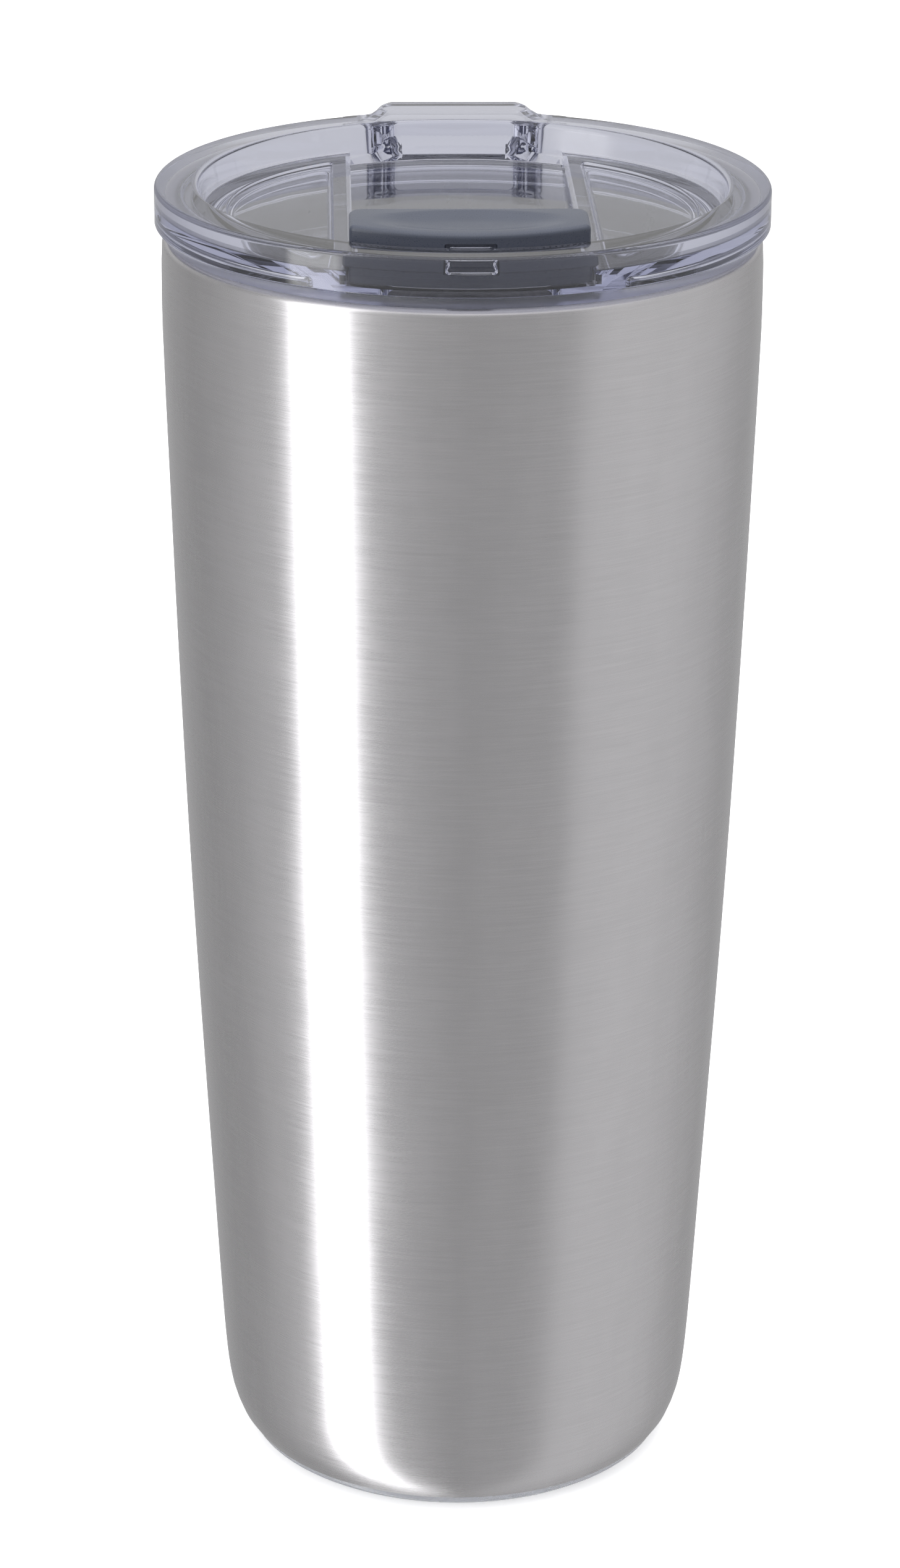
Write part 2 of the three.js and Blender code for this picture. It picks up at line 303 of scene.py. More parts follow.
# Brushed steel: fine lines round the body, cloudy variation in the grain.
def steel_material(name, base, rough, aniso, line_bump, radial=0.0, lo=0.9):
    m, nt, b = new_mat(name)
    L = nt.links.new
    b.inputs["Metallic"].default_value = 1.0
    b.inputs["Anisotropic"].default_value = aniso
    fine = noise(nt, ring_coords(nt, 3.0, 9000.0, radial * 9000.0), 1.0, 3.0, 0.6)
    mid = noise(nt, ring_coords(nt, 5.0, 1800.0, radial * 1800.0), 1.0, 4.0, 0.6)
    cloud = noise(nt, ring_coords(nt, 6.0, 55.0, radial * 55.0), 1.0, 3.0, 0.5)
    mixv = node(nt, "ShaderNodeMath", operation="MULTIPLY_ADD")
    L(fine.outputs["Fac"], mixv.inputs[0]); mixv.inputs[1].default_value = 0.6
    half = node(nt, "ShaderNodeMath", operation="MULTIPLY"); L(mid.outputs["Fac"], half.inputs[0]); half.inputs[1].default_value = 0.4
    L(half.outputs[0], mixv.inputs[2])
    add = node(nt, "ShaderNodeMath", operation="ADD"); L(mixv.outputs[0], add.inputs[0])
    cl = remap(nt, cloud.outputs["Fac"], 0.3, 0.7, -0.08, 0.08); L(cl, add.inputs[1])
    col = ramp(nt, [(0.32, tuple(c * lo for c in base) + (1,)), (0.68, tuple(min(1, c * 1.04) for c in base) + (1,))])
    L(add.outputs[0], col.inputs["Fac"])
    L(col.outputs["Color"], b.inputs["Base Color"])
    L(remap(nt, add.outputs[0], 0.3, 0.7, rough - 0.035, rough + 0.045), b.inputs["Roughness"])
    bump = node(nt, "ShaderNodeBump"); bump.inputs["Strength"].default_value = line_bump
    bump.inputs["Distance"].default_value = 0.00004
    L(mixv.outputs[0], bump.inputs["Height"]); L(bump.outputs[0], b.inputs["Normal"])
    if aniso > 0:
        tan = node(nt, "ShaderNodeTangent", direction_type="RADIAL", axis="Z")
        L(tan.outputs[0], b.inputs["Tangent"])
        b.inputs["Anisotropic Rotation"].default_value = 0.25
    return m

def clear_plastic(name, tint, rough_lo, rough_hi, ior=1.57):
    """Clear styrene-like plastic: faint ripple, a flow line on the middle plane, satin below the rim's face."""
    m, nt, b = new_mat(name)
    L = nt.links.new
    b.inputs["Transmission Weight"].default_value = 1.0
    b.inputs["IOR"].default_value = ior
    tc = node(nt, "ShaderNodeTexCoord")
    n1 = noise(nt, tc.outputs["Object"], 55.0, 2.0, 0.4)
    n2 = noise(nt, tc.outputs["Object"], 900.0, 3.0, 0.6)
    col = ramp(nt, [(0.3, tuple(c * 0.985 for c in tint) + (1,)), (0.7, tint + (1,))]); L(n1.outputs["Fac"], col.inputs["Fac"])
    L(col.outputs["Color"], b.inputs["Base Color"])
    sep = node(nt, "ShaderNodeSeparateXYZ"); L(tc.outputs["Object"], sep.inputs[0])
    gl = remap(nt, n2.outputs["Fac"], 0.45, 0.75, rough_lo, rough_hi)
    satin = remap(nt, sep.outputs[2], 0.1984, 0.1981, 0.0, 0.30)
    sp = node(nt, "ShaderNodeVectorMath", operation="MULTIPLY"); L(tc.outputs["Object"], sp.inputs[0]); sp.inputs[1].default_value = (1, 1, 0)
    rad = node(nt, "ShaderNodeVectorMath", operation="LENGTH"); L(sp.outputs[0], rad.inputs[0])
    outer = remap(nt, rad.outputs["Value"], 0.0416, 0.0419, 0.0, 1.0)
    inner = remap(nt, rad.outputs["Value"], 0.0456, 0.0460, 1.0, 0.0)
    s0 = node(nt, "ShaderNodeMath", operation="MULTIPLY"); L(inner, s0.inputs[0]); L(outer, s0.inputs[1])
    sm = node(nt, "ShaderNodeMath", operation="MULTIPLY"); L(satin, sm.inputs[0]); L(s0.outputs[0], sm.inputs[1])
    vol = node(nt, "ShaderNodeVolumeAbsorption"); vol.inputs["Color"].default_value = (0.12, 0.165, 0.50, 1); vol.inputs["Density"].default_value = 8.5
    L(vol.outputs[0], nt.nodes["Material Output"].inputs["Volume"])
    ra_ = node(nt, "ShaderNodeMath", operation="ADD"); L(gl, ra_.inputs[0]); L(sm.outputs[0], ra_.inputs[1])
    L(ra_.outputs[0], b.inputs["Roughness"])
    ax = node(nt, "ShaderNodeMath", operation="ABSOLUTE"); L(sep.outputs[0], ax.inputs[0])
    ln = remap(nt, ax.outputs[0], 0.0, 0.00025, 1.0, 0.0)
    yy = remap(nt, sep.outputs[1], 0.0, 0.01, 0.0, 1.0)
    wl = node(nt, "ShaderNodeMath", operation="MULTIPLY"); L(ln, wl.inputs[0]); L(yy, wl.inputs[1])
    hh = node(nt, "ShaderNodeMath", operation="MULTIPLY_ADD"); L(wl.outputs[0], hh.inputs[0]); hh.inputs[1].default_value = -0.05; L(n1.outputs["Fac"], hh.inputs[2])
    bump = node(nt, "ShaderNodeBump"); bump.inputs["Strength"].default_value = 0.10; bump.inputs["Distance"].default_value = 0.0003
    L(hh.outputs[0], bump.inputs["Height"]); L(bump.outputs[0], b.inputs["Normal"])
    return m

def silicone_material(name, color, trans, rough):
    m, nt, b = new_mat(name)
    L = nt.links.new
    b.inputs["Transmission Weight"].default_value = trans
    b.inputs["IOR"].default_value = 1.41
    b.inputs["Subsurface Weight"].default_value = 0.0
    tc = node(nt, "ShaderNodeTexCoord")
    n1 = noise(nt, tc.outputs["Object"], 180.0, 3.0, 0.5)
    col = ramp(nt, [(0.3, tuple(c * 0.94 for c in color) + (1,)), (0.7, color + (1,))]); L(n1.outputs["Fac"], col.inputs["Fac"])
    L(col.outputs["Color"], b.inputs["Base Color"])
    L(remap(nt, n1.outputs["Fac"], 0.3, 0.7, rough - 0.06, rough + 0.08), b.inputs["Roughness"])
    bump = node(nt, "ShaderNodeBump"); bump.inputs["Strength"].default_value = 0.12; bump.inputs["Distance"].default_value = 0.0002
    L(n1.outputs["Fac"], bump.inputs["Height"]); L(bump.outputs[0], b.inputs["Normal"])
    return m

def moulded_plastic(name, color, rough):
    m, nt, b = new_mat(name)
    L = nt.links.new
    b.inputs["IOR"].default_value = 1.5
    tc = node(nt, "ShaderNodeTexCoord")
    n1 = noise(nt, tc.outputs["Object"], 120.0, 3.0, 0.5)
    n2 = noise(nt, tc.outputs["Object"], 5200.0, 2.0, 0.6)
    col = ramp(nt, [(0.3, tuple(c * 0.93 for c in color) + (1,)), (0.7, tuple(c * 1.05 for c in color) + (1,))]); L(n1.outputs["Fac"], col.inputs["Fac"])
    L(col.outputs["Color"], b.inputs["Base Color"])
    L(remap(nt, n2.outputs["Fac"], 0.35, 0.7, rough - 0.03, rough + 0.05), b.inputs["Roughness"])
    bump = node(nt, "ShaderNodeBump"); bump.inputs["Strength"].default_value = 0.10; bump.inputs["Distance"].default_value = 0.00003
    L(n2.outputs["Fac"], bump.inputs["Height"]); L(bump.outputs[0], b.inputs["Normal"])
    return m

def plain_metal(name, color, rough, scale):
    m, nt, b = new_mat(name)
    L = nt.links.new
    b.inputs["Metallic"].default_value = 0.9
    tc = node(nt, "ShaderNodeTexCoord")
    n1 = noise(nt, tc.outputs["Object"], scale, 4.0, 0.6)
    col = ramp(nt, [(0.3, tuple(c * 0.8 for c in color) + (1,)), (0.7, color + (1,))]); L(n1.outputs["Fac"], col.inputs["Fac"])
    L(col.outputs["Color"], b.inputs["Base Color"])
    L(remap(nt, n1.outputs["Fac"], 0.3, 0.7, rough - 0.08, rough + 0.1), b.inputs["Roughness"])
    bump = node(nt, "ShaderNodeBump"); bump.inputs["Strength"].default_value = 0.3; bump.inputs["Distance"].default_value = 0.0001
    L(n1.outputs["Fac"], bump.inputs["Height"]); L(bump.outputs[0], b.inputs["Normal"])
    return m

def paint(ob, mat):
    ob.data.materials.clear()
    ob.data.materials.append(mat)

def set_cad(name, mat):
    ob = nodes[name]
    if len(ob.material_slots):
        for s in ob.material_slots:
            s.material = mat
    else:
        ob.data.materials.append(mat)

M_SHELL = steel_material("brushed_outer", (0.627, 0.615, 0.631), 0.27, 0.75, 0.17, lo=0.93)
M_LINER = steel_material("brushed_liner", (0.56, 0.558, 0.553), 0.24, 0.6, 0.35)
M_COVER = steel_material("brushed_cover", (0.606, 0.595, 0.610), 0.3, 0.5, 0.3, radial=1.0)
M_CLEAR = clear_plastic("clear_plastic", (0.945, 0.95, 0.99), 0.0, 0.03)
M_FOOT = silicone_material("foot_silicone", (0.90, 0.915, 0.94), 0.85, 0.22)
M_GASKET = silicone_material("gasket_silicone", (0.72, 0.74, 0.77), 0.55, 0.32)
M_GREY = moulded_plastic("slider_plastic", (0.052, 0.060, 0.084), 0.30)
M_PAD = moulded_plastic("seal_silicone", (0.045, 0.052, 0.068), 0.5)
M_BEAD = plain_metal("seal_bead", (0.3, 0.29, 0.26), 0.35, 400.0)
M_GETTER = plain_metal("getter_metal", (0.42, 0.42, 0.43), 0.55, 1500.0)

# ------------------------------------------------------------------ cup
WALL = [(2.2, 33.9), (3.0, 34.56), (5.0, 35.50), (7.5, 36.28), (11.0, 36.84), (16.0, 37.28), (24.0, 37.79), (40.0, 38.67),
        (60.0, 39.77), (80.0, 40.82), (100.0, 41.76), (120.0, 42.56), (140.0, 43.27), (160.0, 43.90), (175.0, 44.36),
        (186.0, 44.59), (192.0, 44.56), (194.3, 44.46)]
def shell_profile():
    out = smooth_curve(WALL, 110)                                      # up the outside
    roll = fillet([(44.46, 194.3), (44.40, 196.1, 1.15), (42.40, 196.1, 0.9), (42.40, 195.55)], 8)[1:]
    inside = smooth_curve([(2.95, 33.4), (5.0, 35.0), (7.5, 35.78), (11.0, 36.34), (16.0, 36.78), (24.0, 37.28), (40.0, 38.16),
                           (80.0, 40.31), (120.0, 42.05), (160.0, 43.39), (186.0, 44.08), (194.2, 43.95)], 40)
    prof = out + roll + [(43.0, 195.5), (43.5, 195.2)] + inside[::-1]
    prof += fillet([(33.4, 2.95), (30.6, 2.95), (30.6, 2.2, 0.15), (33.6, 2.2, 0.3), (33.9, 2.2)], 3)[1:-1]
    return prof
shell = lathe("outer_shell_skin", shell_profile(), 288)
finish_shading(shell, 40, weighted=False)
paint(shell, M_SHELL)
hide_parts("outer_shell"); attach(shell, "cup")

def liner_profile():
    inn = fillet([(0, 9.0), (26.0, 9.0, 8.0), (33.0, 12.2, 6.0), (33.75, 22.0, 30.0), (35.0, 45.0, 60.0), (38.2, 110.0, 200.0), (40.7, 172.0, 12.0),
                  (42.35, 183.0, 6.0), (42.35, 195.2)], 8)
    outp = fillet([(42.8, 195.2), (42.8, 182.85, 6.0), (41.15, 171.85, 12.0), (38.65, 110.0, 200.0), (35.45, 45.0, 60.0), (34.2, 22.0, 30.0),
                   (33.4, 11.95, 6.0), (26.1, 8.55, 8.0), (0, 8.55)], 6)
    return inn + outp
liner = lathe("inner_liner_skin", liner_profile(), 256)
finish_shading(liner, 40, weighted=False)
paint(liner, M_LINER)
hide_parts("inner_liner"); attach(liner, "cup")

pad = lathe("base_pad_skin", fillet([(0, 0), (17.0, 0, 0.15), (17.4, 0.5, 0.15), (19.6, 0.5, 0.15), (20.0, 0, 0.15), (26.0, 0, 0.15), (26.4, 0.5, 0.15),
                                     (28.4, 0.5, 0.15), (28.8, 0, 0.15), (31.7, 0, 0.45), (33.3, 1.1, 0.6), (33.3, 1.9, 0.15), (0, 1.9)], 4), 256)
finish_shading(pad, 40, weighted=False)
paint(pad, M_FOOT)
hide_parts("base_pad"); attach(pad, "cup")

cover = lathe("base_cover_skin", fillet([(0, 2.2), (30.3, 2.2, 0.2), (30.3, 2.9, 0.2), (0, 2.9)], 3), 192)
finish_shading(cover, 40, weighted=False)
paint(cover, M_COVER)
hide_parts("base_cover"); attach(cover, "cup")

set_cad("outer_bottom", M_COVER)
set_cad("vacuum_seal", M_BEAD)
set_cad("getter", M_GETTER)

# ------------------------------------------------------------------ lid body
R_OUT, TOP, UNDER = 45.5, 204.08, 196.4
WALL_R, DECK, PANEL, FLOOR = 38.2, 200.0, 199.4, 198.0
CH, RAIL, TAB_Z = 16.4, 19.2, 196.9
SKIRT, GV0, GV1 = 185.2, 187.0, 192.8

def arc_pts(r, a0, a1, n):
    return [(r * math.sin(a), r * math.cos(a)) for a in np.linspace(a0, a1, n)]

def turn(cx, cy, r, a0, a1, n):
    return [(cx + r * math.cos(a), cy + r * math.sin(a)) for a in np.linspace(a0, a1, n)]

def d_outline(sx, x0, R, r, n=9):
    """Region x >= x0 inside the circle R, both corners rounded by r; sx mirrors it."""
    yc = math.sqrt((R - r) ** 2 - (x0 + r) ** 2)
    th = math.atan2(yc, x0 + r)
    pts = turn(x0 + r, -yc, r, -math.pi, -th, n) + turn(0, 0, R, -th, th, 61)[1:-1] + turn(x0 + r, yc, r, th, math.pi, n)
    return [(sx * x, y) for x, y in pts]

def lens_outline(hw, R, r, n=9):
    """Region |x| <= hw inside the circle R, four corners rounded by r."""
    yc = math.sqrt((R - r) ** 2 - (hw - r) ** 2)
    th = math.atan2(yc, hw - r)
    q = turn(hw - r, yc, r, 0, th, n) + turn(0, 0, R, th, math.pi - th, 41)[1:-1] + turn(-hw + r, yc, r, math.pi - th, math.pi, n)
    return q + [(-x, -y) for x, y in q]

def band_outline(sy, hw, Ri, Ro, r, n=8):
    """Region |x| <= hw between two circles, four corners rounded by r; sy mirrors it."""
    yo = math.sqrt((Ro - r) ** 2 - (hw - r) ** 2); yi = math.sqrt((Ri + r) ** 2 - (hw - r) ** 2)
    to, ti = math.atan2(yo, hw - r), math.atan2(yi, hw - r)
    pts = turn(hw - r, yi, r, ti - math.pi, 0, n) + turn(hw - r, yo, r, 0, to, n) + turn(0, 0, Ro, to, math.pi - to, 35)[1:-1]
    pts += turn(-hw + r, yo, r, math.pi - to, math.pi, n) + turn(-hw + r, yi, r, math.pi, 2 * math.pi - ti, n)
    pts += turn(0, 0, Ri, math.pi - ti, ti, 31)[1:-1]
    return [(x, sy * y) for x, y in pts]

def build_lid():
    body = lathe("lid_body_skin", fillet([
        (0, SKIRT), (41.3, SKIRT, 0.6), (41.3, GV0, 0.2), (39.8, GV0, 0.2), (39.8, GV1, 0.2), (41.3, GV1, 0.2),
        (41.3, UNDER, 0.4), (43.9, UNDER, 0.3), (R_OUT, 198.4, 0.22), (R_OUT, TOP, 0.75), (0, TOP)], 5), 256)
    # lift tab
    right = fillet([(17.4, 41.6), (14.2, 43.3, 5.0), (12.6, 48.0, 9.0), (11.9, 51.2, 5.0), (10.3, 53.3, 2.2), (0, 53.3)], 8)
    tab_out = [(10.0, 37.6)] + right[:-1]
    tab_out = tab_out + [(-x, y) for x, y in reversed(tab_out)]
    tab_out = dense(tab_out, 0.9)
    tprof = [(-1.6, TAB_Z), (-1.4, TAB_Z + 0.06), (-0.1, TAB_Z + 1.36), (0.0, TAB_Z + 1.6)]
    for k in range(7):
        a = math.pi / 2 * k / 6
        tprof.append((-1.5 + 1.5 * math.cos(a), TOP - 1.5 + 1.5 * math.sin(a)))
    tab = loft("tab", tab_out, tprof, weight=lambda x, y: min(1.0, max(0.0, (math.hypot(x, y) - 45.2) / 1.4)))
    body = boolean(body, tab, "UNION")
    # recess inside the rim
    rec = lathe("rec", fillet([(0, DECK), (WALL_R, DECK, 0.4), (WALL_R + 0.8, TOP - 1.0, 0.0)], 6)
                + [(WALL_R + 1.8 - math.cos(a), TOP - 1.0 + math.sin(a)) for a in np.linspace(0.15, math.pi / 2, 7)]
                + [(WALL_R + 1.8, TOP + 2), (0, TOP + 2)], 256)
    body = boolean(body, rec, "DIFFERENCE")
    # channel: a straight groove whose ends follow the rim's wall
    a_end = math.asin(CH / (WALL_R + 0.1))
    out = [(x, y) for x, y in arc_pts(WALL_R + 0.1, -a_end, a_end, 41)]
    out = out + [(x, -y) for x, y in reversed(out)]
    out = dense(out, 3.0)
    prof = [(-0.15 + 0.15 * math.sin(a), FLOOR + 0.15 - 0.15 * math.cos(a)) for a in np.linspace(0, math.pi / 2, 4)]
    prof += [(0.0, 199.7), (0.0, 203.4)]
    ch = loft("ch", out, prof)
    body = boolean(body, ch, "DIFFERENCE")
    # rails' undercut
    for sx in (-1, 1):
        g = loft("ug", [(sx * (CH - 0.6), -33.4), (sx * (CH + 0.7), -33.4), (sx * (CH + 0.7), 33.0), (sx * (CH - 0.6), 33.0)],
                 [(0, FLOOR + 0.01), (0, FLOOR + 1.35)])
        body = boolean(body, g, "DIFFERENCE")
    # side panels
    for sx in (-1, 1):
        po = dense(d_outline(sx, RAIL, 34.8, 0.5), 3.0)
        pp = [(-0.3 + 0.3 * math.sin(a), PANEL + 0.3 - 0.3 * math.cos(a)) for a in np.linspace(0, math.pi / 2, 5)]
        pp += [(0.2 * (1 - math.cos(a)), DECK - 0.2 + 0.2 * math.sin(a)) for a in np.linspace(0.3, math.pi / 2, 4)] + [(0.2, DECK + 0.6)]
        body = boolean(body, loft("panel", po, pp), "DIFFERENCE")
    # hollow underside: round, shallower under the channel than under the side panels
    body = boolean(body, lathe("u0", fillet([(0, 183.0), (38.0, 183.0), (38.0, FLOOR - 2.0, 2.5), (0, FLOOR - 2.0)], 10), 256), "DIFFERENCE")
    RB = 34.5
    for sx in (-1, 1):
        po = dense(d_outline(sx, RAIL + 0.05, RB, 1.6), 3.0)
        pp = [(0.0, 194.6), (0.0, PANEL - 1.7 - 0.8)] + [(-0.8 + 0.8 * math.cos(a), PANEL - 1.7 - 0.8 + 0.8 * math.sin(a)) for a in np.linspace(0.2, math.pi / 2, 5)]
        body = boolean(body, loft("us", po, pp), "DIFFERENCE")
    # a rib under each rail
    for sx in (-1, 1):
        rb_ = loft("rib", [(sx * CH, -35.2), (sx * (RAIL - 0.05), -33.8), (sx * (RAIL - 0.05), 33.8), (sx * CH, 35.2)], [(-0.1, 192.5), (0, 192.6), (0, 197.0)])
        body = boolean(body, rb_, "UNION")
    # mouth opening
    o = dense(band_outline(-1, 11.5, 29.4, 35.1, 2.6), 3.0)
    mp = [(0.3, 194.0), (0.3, FLOOR - 2.0)] + [(0.3 * (1 - math.sin(a)), FLOOR - 2.0 + 0.3 * (1 - math.cos(a))) for a in np.linspace(0.3, math.pi / 2, 4)]
    mp += [(0.0, FLOOR - 0.3)] + [(0.3 - 0.3 * math.cos(a), FLOOR - 0.3 + 0.3 * math.sin(a)) for a in np.linspace(0.3, math.pi / 2, 4)] + [(0.3, FLOOR + 0.3)]
    body = boolean(body, loft("mouth", o, mp), "DIFFERENCE")
    # detent tongue on the front wall
    to = dense(outline_round([(-3.2, -40.2, 0), (3.2, -40.2, 0), (3.2, -36.85, 0.7), (-3.2, -36.85, 0.7)], 6), 1.2)
    tp = [(-0.2, 200.5), (0.1, 200.62), (0.25, 200.9), (0.22, 201.25), (0.0, 201.6), (0.0, 203.1)] + [(-0.5 + 0.5 * math.cos(a), 203.1 + 0.5 * math.sin(a)) for a in np.linspace(0.3, math.pi / 2, 5)]
    body = boolean(body, loft("tongue", to, tp), "UNION")
    return body

lid = build_lid()
finish_shading(lid, 33, weighted=True)
paint(lid, M_CLEAR)
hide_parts("lid_body"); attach(lid, "lid")

G0 = GV0 + 0.3
gasket = lathe("lid_gasket_skin", fillet([
    (40.1, G0 + 2.6), (40.1, G0, 0.15), (41.1, G0, 0.2), (41.2, G0 + 0.55, 0.2), (42.05, G0 + 1.2, 0.15), (42.05, G0 + 1.75, 0.2), (41.2, G0 + 1.85, 0.15),
    (41.2, G0 + 3.2, 0.15), (42.05, G0 + 3.85, 0.15), (42.05, G0 + 4.4, 0.2), (41.2, G0 + 4.5, 0.15), (41.1, G0 + 5.2, 0.2), (40.1, G0 + 5.2, 0.15), (40.1, G0 + 2.8)], 3), 256)
finish_shading(gasket, 40, weighted=False)
paint(gasket, M_GASKET)
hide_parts("lid_gasket"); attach(gasket, "lid_ring")

# ------------------------------------------------------------------ slider
def slider_outline(hw, r, rear, rc_front, rc_rear):
    a = math.asin(hw / r)
    front = [(r * math.sin(t), -r * math.cos(t)) for t in np.linspace(-a, a, 33)]
    pts = [(x, y, rc_front if i in (0, 32) else 0.0) for i, (x, y) in enumerate(front)]
    pts += [(hw, rear, rc_rear), (-hw, rear, rc_rear)]
    return dense(outline_round(pts, 8), 1.1)

def build_slider():
    edge = 0.7
    o = slider_outline(17.0, 37.8, -24.4, 2.4, 2.0)
    base_r = 0.3
    prof = [(-base_r + base_r * math.sin(a), 200.35 + base_r - base_r * math.cos(a)) for a in np.linspace(0, math.pi / 2, 4)]
    prof += [(-edge + edge * math.cos(a), 206.0 - edge + edge * math.sin(a)) for a in np.linspace(0, math.pi / 2, 8)]
    def z_of(x, y, z):
        if z < 203.0:
            return z
        z -= 0.56 * (max(0.0, -27.0 - y) / 10.8) ** 2 * min(1.0, (z - 203.0) / 2.2)
        if z < 205.2:
            return z
        u = x / 14.5; v = (y + 30.8) / 5.4
        d = max(0.0, 1.0 - (u * u + v * v))
        return z - 0.85 * d * d * (3 - 2 * d) * 1.0
    top = loft("slider_skin", o, prof, z_of=z_of, rings=22)
    low = loft("slow", slider_outline(16.1, 37.7, -24.8, 1.5, 0.4), [(0, 198.45), (0, 201.0)])
    top = boolean(top, low, "UNION")
    rib = loft("srib", dense([(-16.8, -32.8), (16.8, -32.8), (16.8, -24.8), (-16.8, -24.8)], 2.0), [(-0.1, 198.3), (0, 198.4), (0, 199.0), (-0.1, 199.1)])
    top = boolean(top, rib, "UNION")
    notch = loft("notch", dense(outline_round([(-3.7, -45, 0), (3.7, -45, 0), (3.7, -36.3, 0.5), (-3.7, -36.3, 0.5)], 5), 1.5),
                 [(0, 200.2), (0, 203.8)] + [(-0.3 + 0.3 * math.cos(a), 203.8 + 0.3 * math.sin(a)) for a in np.linspace(0.3, math.pi / 2, 4)])
    top = boolean(top, notch, "DIFFERENCE")
    pocket = loft("pocket", slider_outline(14.3, 36.2, -26.2, 1.0, 1.0), [(0, 190.0), (0, 199.7)])
    top = boolean(top, pocket, "DIFFERENCE")
    return top

slider = build_slider()
finish_shading(slider, 35, weighted=True)
paint(slider, M_GREY)
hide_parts("slider"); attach(slider, "closure")

seal = loft("slider_seal_skin", slider_outline(14.0, 35.9, -26.5, 1.1, 1.1),
            [(-0.25, 198.3), (-0.07, 198.37), (0, 198.55), (0, 199.2), (-0.2, 199.4)])
finish_shading(seal, 40, weighted=True)
paint(seal, M_PAD)
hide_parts("slider_seal"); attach(seal, "closure")

# ------------------------------------------------------------------ floor, world, lights, camera
SEEN_THROUGH = (0.58, 0.585, 0.63, 1)      # the pale sweep as the clear lid shows it
floor = mesh_object("floor", [(-6, -6, 0), (6, -6, 0), (6, 6, 0), (-6, 6, 0)], [(0, 1, 2, 3)])
fm, fnt, fb = new_mat("floor_white")
fb.inputs["Roughness"].default_value = 0.9
fb.inputs["Specular IOR Level"].default_value = 0.0
ftc = node(fnt, "ShaderNodeTexCoord")
fn = noise(fnt, ftc.outputs["Object"], 3.0, 2.0)
fc = ramp(fnt, [(0.3, (0.90, 0.90, 0.905, 1)), (0.7, (0.915, 0.915, 0.92, 1))]); fnt.links.new(fn.outputs["Fac"], fc.inputs["Fac"])
fnt.links.new(fc.outputs["Color"], fb.inputs["Base Color"])
flp = node(fnt, "ShaderNodeLightPath")
fem = node(fnt, "ShaderNodeEmission"); fem.inputs["Color"].default_value = SEEN_THROUGH
fmx = node(fnt, "ShaderNodeMixShader")
fadd = node(fnt, "ShaderNodeAddShader"); fe2 = node(fnt, "ShaderNodeEmission"); fe2.inputs["Color"].default_value = (1, 1, 1, 1); fe2.inputs["Strength"].default_value = 0.5
fout = fnt.nodes["Material Output"]
fnt.links.new(fb.outputs[0], fadd.inputs[0]); fnt.links.new(fe2.outputs[0], fadd.inputs[1])
fnt.links.new(flp.outputs["Is Transmission Ray"], fmx.inputs[0]); fnt.links.new(fadd.outputs[0], fmx.inputs[1]); fnt.links.new(fem.outputs[0], fmx.inputs[2])
fnt.links.new(fmx.outputs[0], fout.inputs["Surface"])
floor.data.materials.append(fm)
floor.visible_glossy = False

world = bpy.data.worlds.new("studio")
scene.world = world
world.use_nodes = True
wn = world.node_tree
bg = wn.nodes["Background"]
WL = wn.links.new
wt = node(wn, "ShaderNodeTexCoord")
ws = node(wn, "ShaderNodeSeparateXYZ"); WL(wt.outputs["Generated"], ws.inputs[0])
neg = node(wn, "ShaderNodeMath", operation="MULTIPLY"); WL(ws.outputs[1], neg.inputs[0]); neg.inputs[1].default_value = -1.0
at = node(wn, "ShaderNodeMath", operation="ARCTAN2"); WL(ws.outputs[0], at.inputs[0]); WL(neg.outputs[0], at.inputs[1])
az = node(wn, "ShaderNodeMath", operation="MULTIPLY_ADD"); WL(at.outputs[0], az.inputs[0]); az.inputs[1].default_value = 1 / (2 * math.pi); az.inputs[2].default_value = 0.5

def az_stops(table):
    """table: (azimuth in degrees from the camera's side, luminance)."""
    return [((a + 180) / 360, (v, v, v, 1)) for a, v in table]
LOW = [(-180, .52), (-150, .42), (-128, .38), (-106, .46), (-89, .58), (-77, .62), (-70, .72), (-66.8, 4.5), (-49, 4.5), (-45.5, .78), (-41, .66), (-35, .60),
       (-23, .52), (-11, .46), (0, .42), (12, .45), (35, .46), (42, .5), (47, .64), (53, .68), (74, .70), (90, .68), (106, .63), (128, .5), (143, .42), (180, .52)]
HIGH = [(-180, .66), (-150, .6), (-120, .5), (-100, .45), (-85, .5), (-75, .8), (-68, 2.4), (-48, 2.4), (-40, .8), (-20, .5), (20, .45), (42, .5), (50, .7),
        (100, .7), (130, .5), (155, .6), (180, .66)]
ra = ramp(wn, az_stops(LOW)); WL(az.outputs[0], ra.inputs["Fac"])
rb = ramp(wn, az_stops(HIGH)); WL(az.outputs[0], rb.inputs["Fac"])
up = remap(wn, ws.outputs[2], -0.02, 0.22, 0.0, 1.0)
mx = node(wn, "ShaderNodeMix", data_type="RGBA"); WL(up, mx.inputs["Factor"]); WL(ra.outputs["Color"], mx.inputs[6]); WL(rb.outputs["Color"], mx.inputs[7])
zen = remap(wn, ws.outputs[2], 0.6, 0.9, 0.0, 1.0)
mz = node(wn, "ShaderNodeMix", data_type="RGBA"); WL(zen, mz.inputs["Factor"]); WL(mx.outputs[2], mz.inputs[6]); mz.inputs[7].default_value = (1.3, 1.3, 1.32, 1)
lp = node(wn, "ShaderNodeLightPath")
mc = node(wn, "ShaderNodeMix", data_type="RGBA"); WL(lp.outputs["Is Camera Ray"], mc.inputs["Factor"]); WL(mz.outputs[2], mc.inputs[6]); mc.inputs[7].default_value = (0.97, 0.97, 0.975, 1)
mt = node(wn, "ShaderNodeMix", data_type="RGBA"); mt.inputs["Factor"].default_value = 0.85
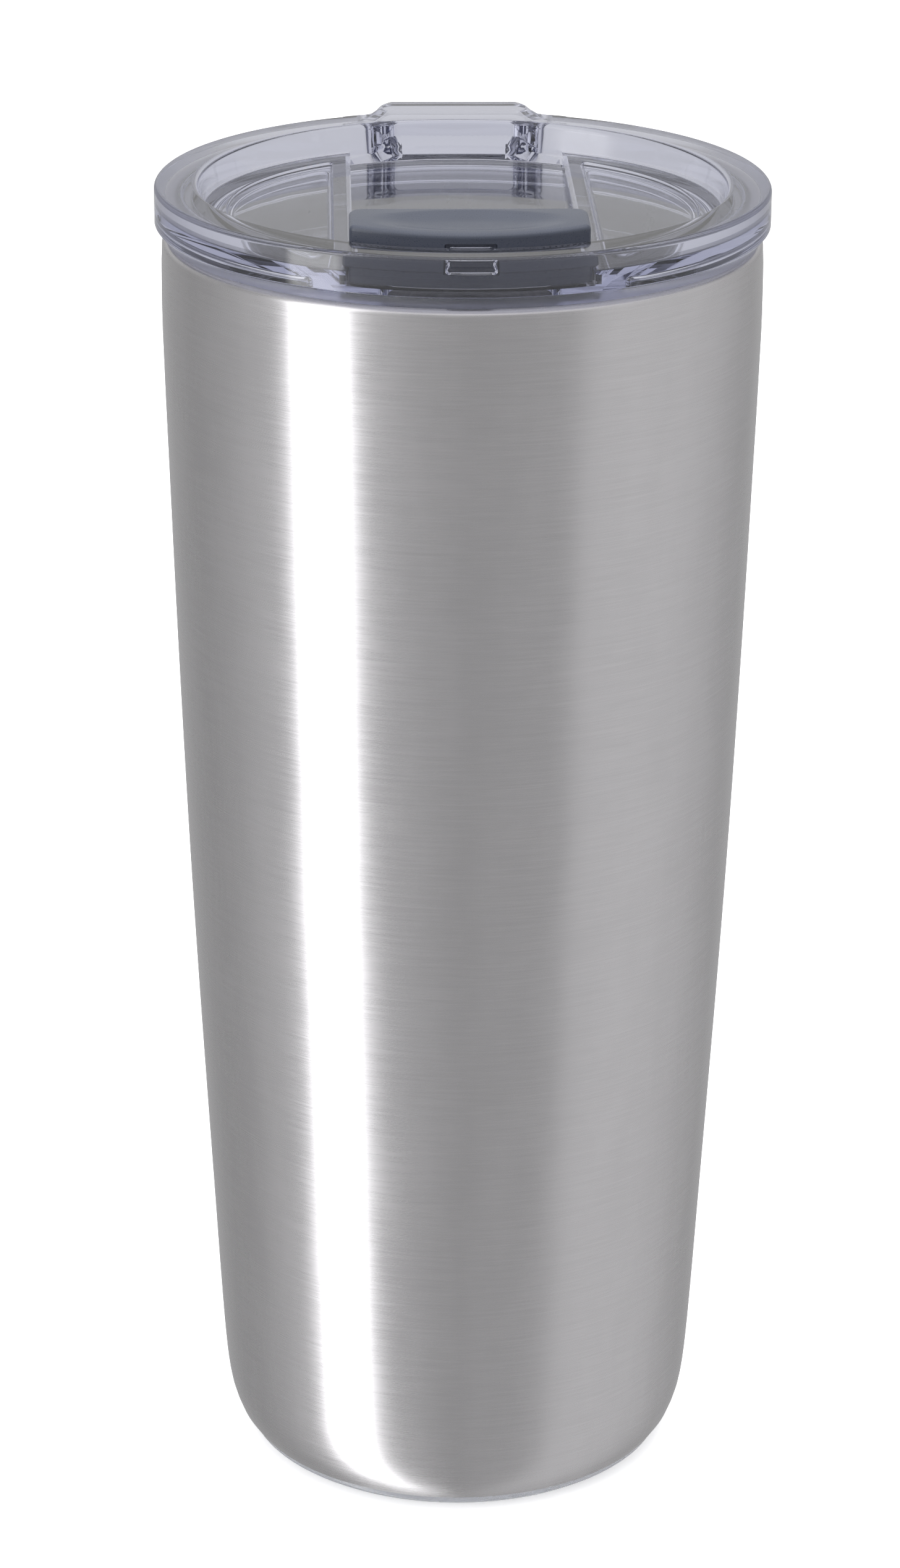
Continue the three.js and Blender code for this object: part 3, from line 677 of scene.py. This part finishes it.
WL(mz.outputs[2], mt.inputs[6]); mt.inputs[7].default_value = (0.62, 0.625, 0.665, 1)
mu = node(wn, "ShaderNodeMix", data_type="RGBA"); WL(lp.outputs["Is Transmission Ray"], mu.inputs["Factor"]); WL(mz.outputs[2], mu.inputs[6]); WL(mt.outputs[2], mu.inputs[7])
WL(mu.outputs[2], mc.inputs[6])
WL(mc.outputs[2], bg.inputs["Color"])
bg.inputs["Strength"].default_value = 1.0
world.cycles.sampling_method = "AUTOMATIC"

def area(name, loc, target, sx, sy, power, glossy=True):
    l = bpy.data.lights.new(name, "AREA")
    l.shape = "RECTANGLE"; l.size = sx; l.size_y = sy; l.energy = power
    o = bpy.data.objects.new(name, l)
    scene.collection.objects.link(o)
    o.location = loc
    d = Vector(target) - Vector(loc)
    o.rotation_euler = d.to_track_quat("-Z", "Y").to_euler()
    o.visible_glossy = glossy
    o.visible_transmission = glossy
    o.visible_camera = False
    return o
area("overhead", (0, 0.1, 1.6), (0, 0, 0), 1.6, 1.6, 24.0, glossy=False)

cam = bpy.data.cameras.new("camera")
cam.sensor_fit = "VERTICAL"
cam.sensor_height = 36.0
cam.lens = 7497.9 / 2538 * 36.0
cam.clip_start = 0.01
cam_ob = bpy.data.objects.new("camera", cam)
scene.collection.objects.link(cam_ob)
YAW, PITCH, ROLL = math.radians(-1.7), math.radians(21.097), math.radians(0.317)
loc = Matrix.Rotation(YAW, 4, "Z") @ Vector((-0.00141, -0.6692, 0.36682))
cam_ob.matrix_world = Matrix.Translation(loc) @ Matrix.Rotation(YAW, 4, "Z") @ Matrix.Rotation(math.pi / 2 - PITCH, 4, "X") @ Matrix.Rotation(ROLL, 4, "Z")
scene.camera = cam_ob

scene.view_settings.view_transform = "Standard"
scene.view_settings.look = "None"
scene.cycles.max_bounces = 24
scene.cycles.transmission_bounces = 20
scene.cycles.glossy_bounces = 22
scene.cycles.diffuse_bounces = 4
scene.cycles.transparent_max_bounces = 12
scene.cycles.sample_clamp_indirect = 8.0
scene.cycles.blur_glossy = 0.5
scene.cycles.use_denoising = True
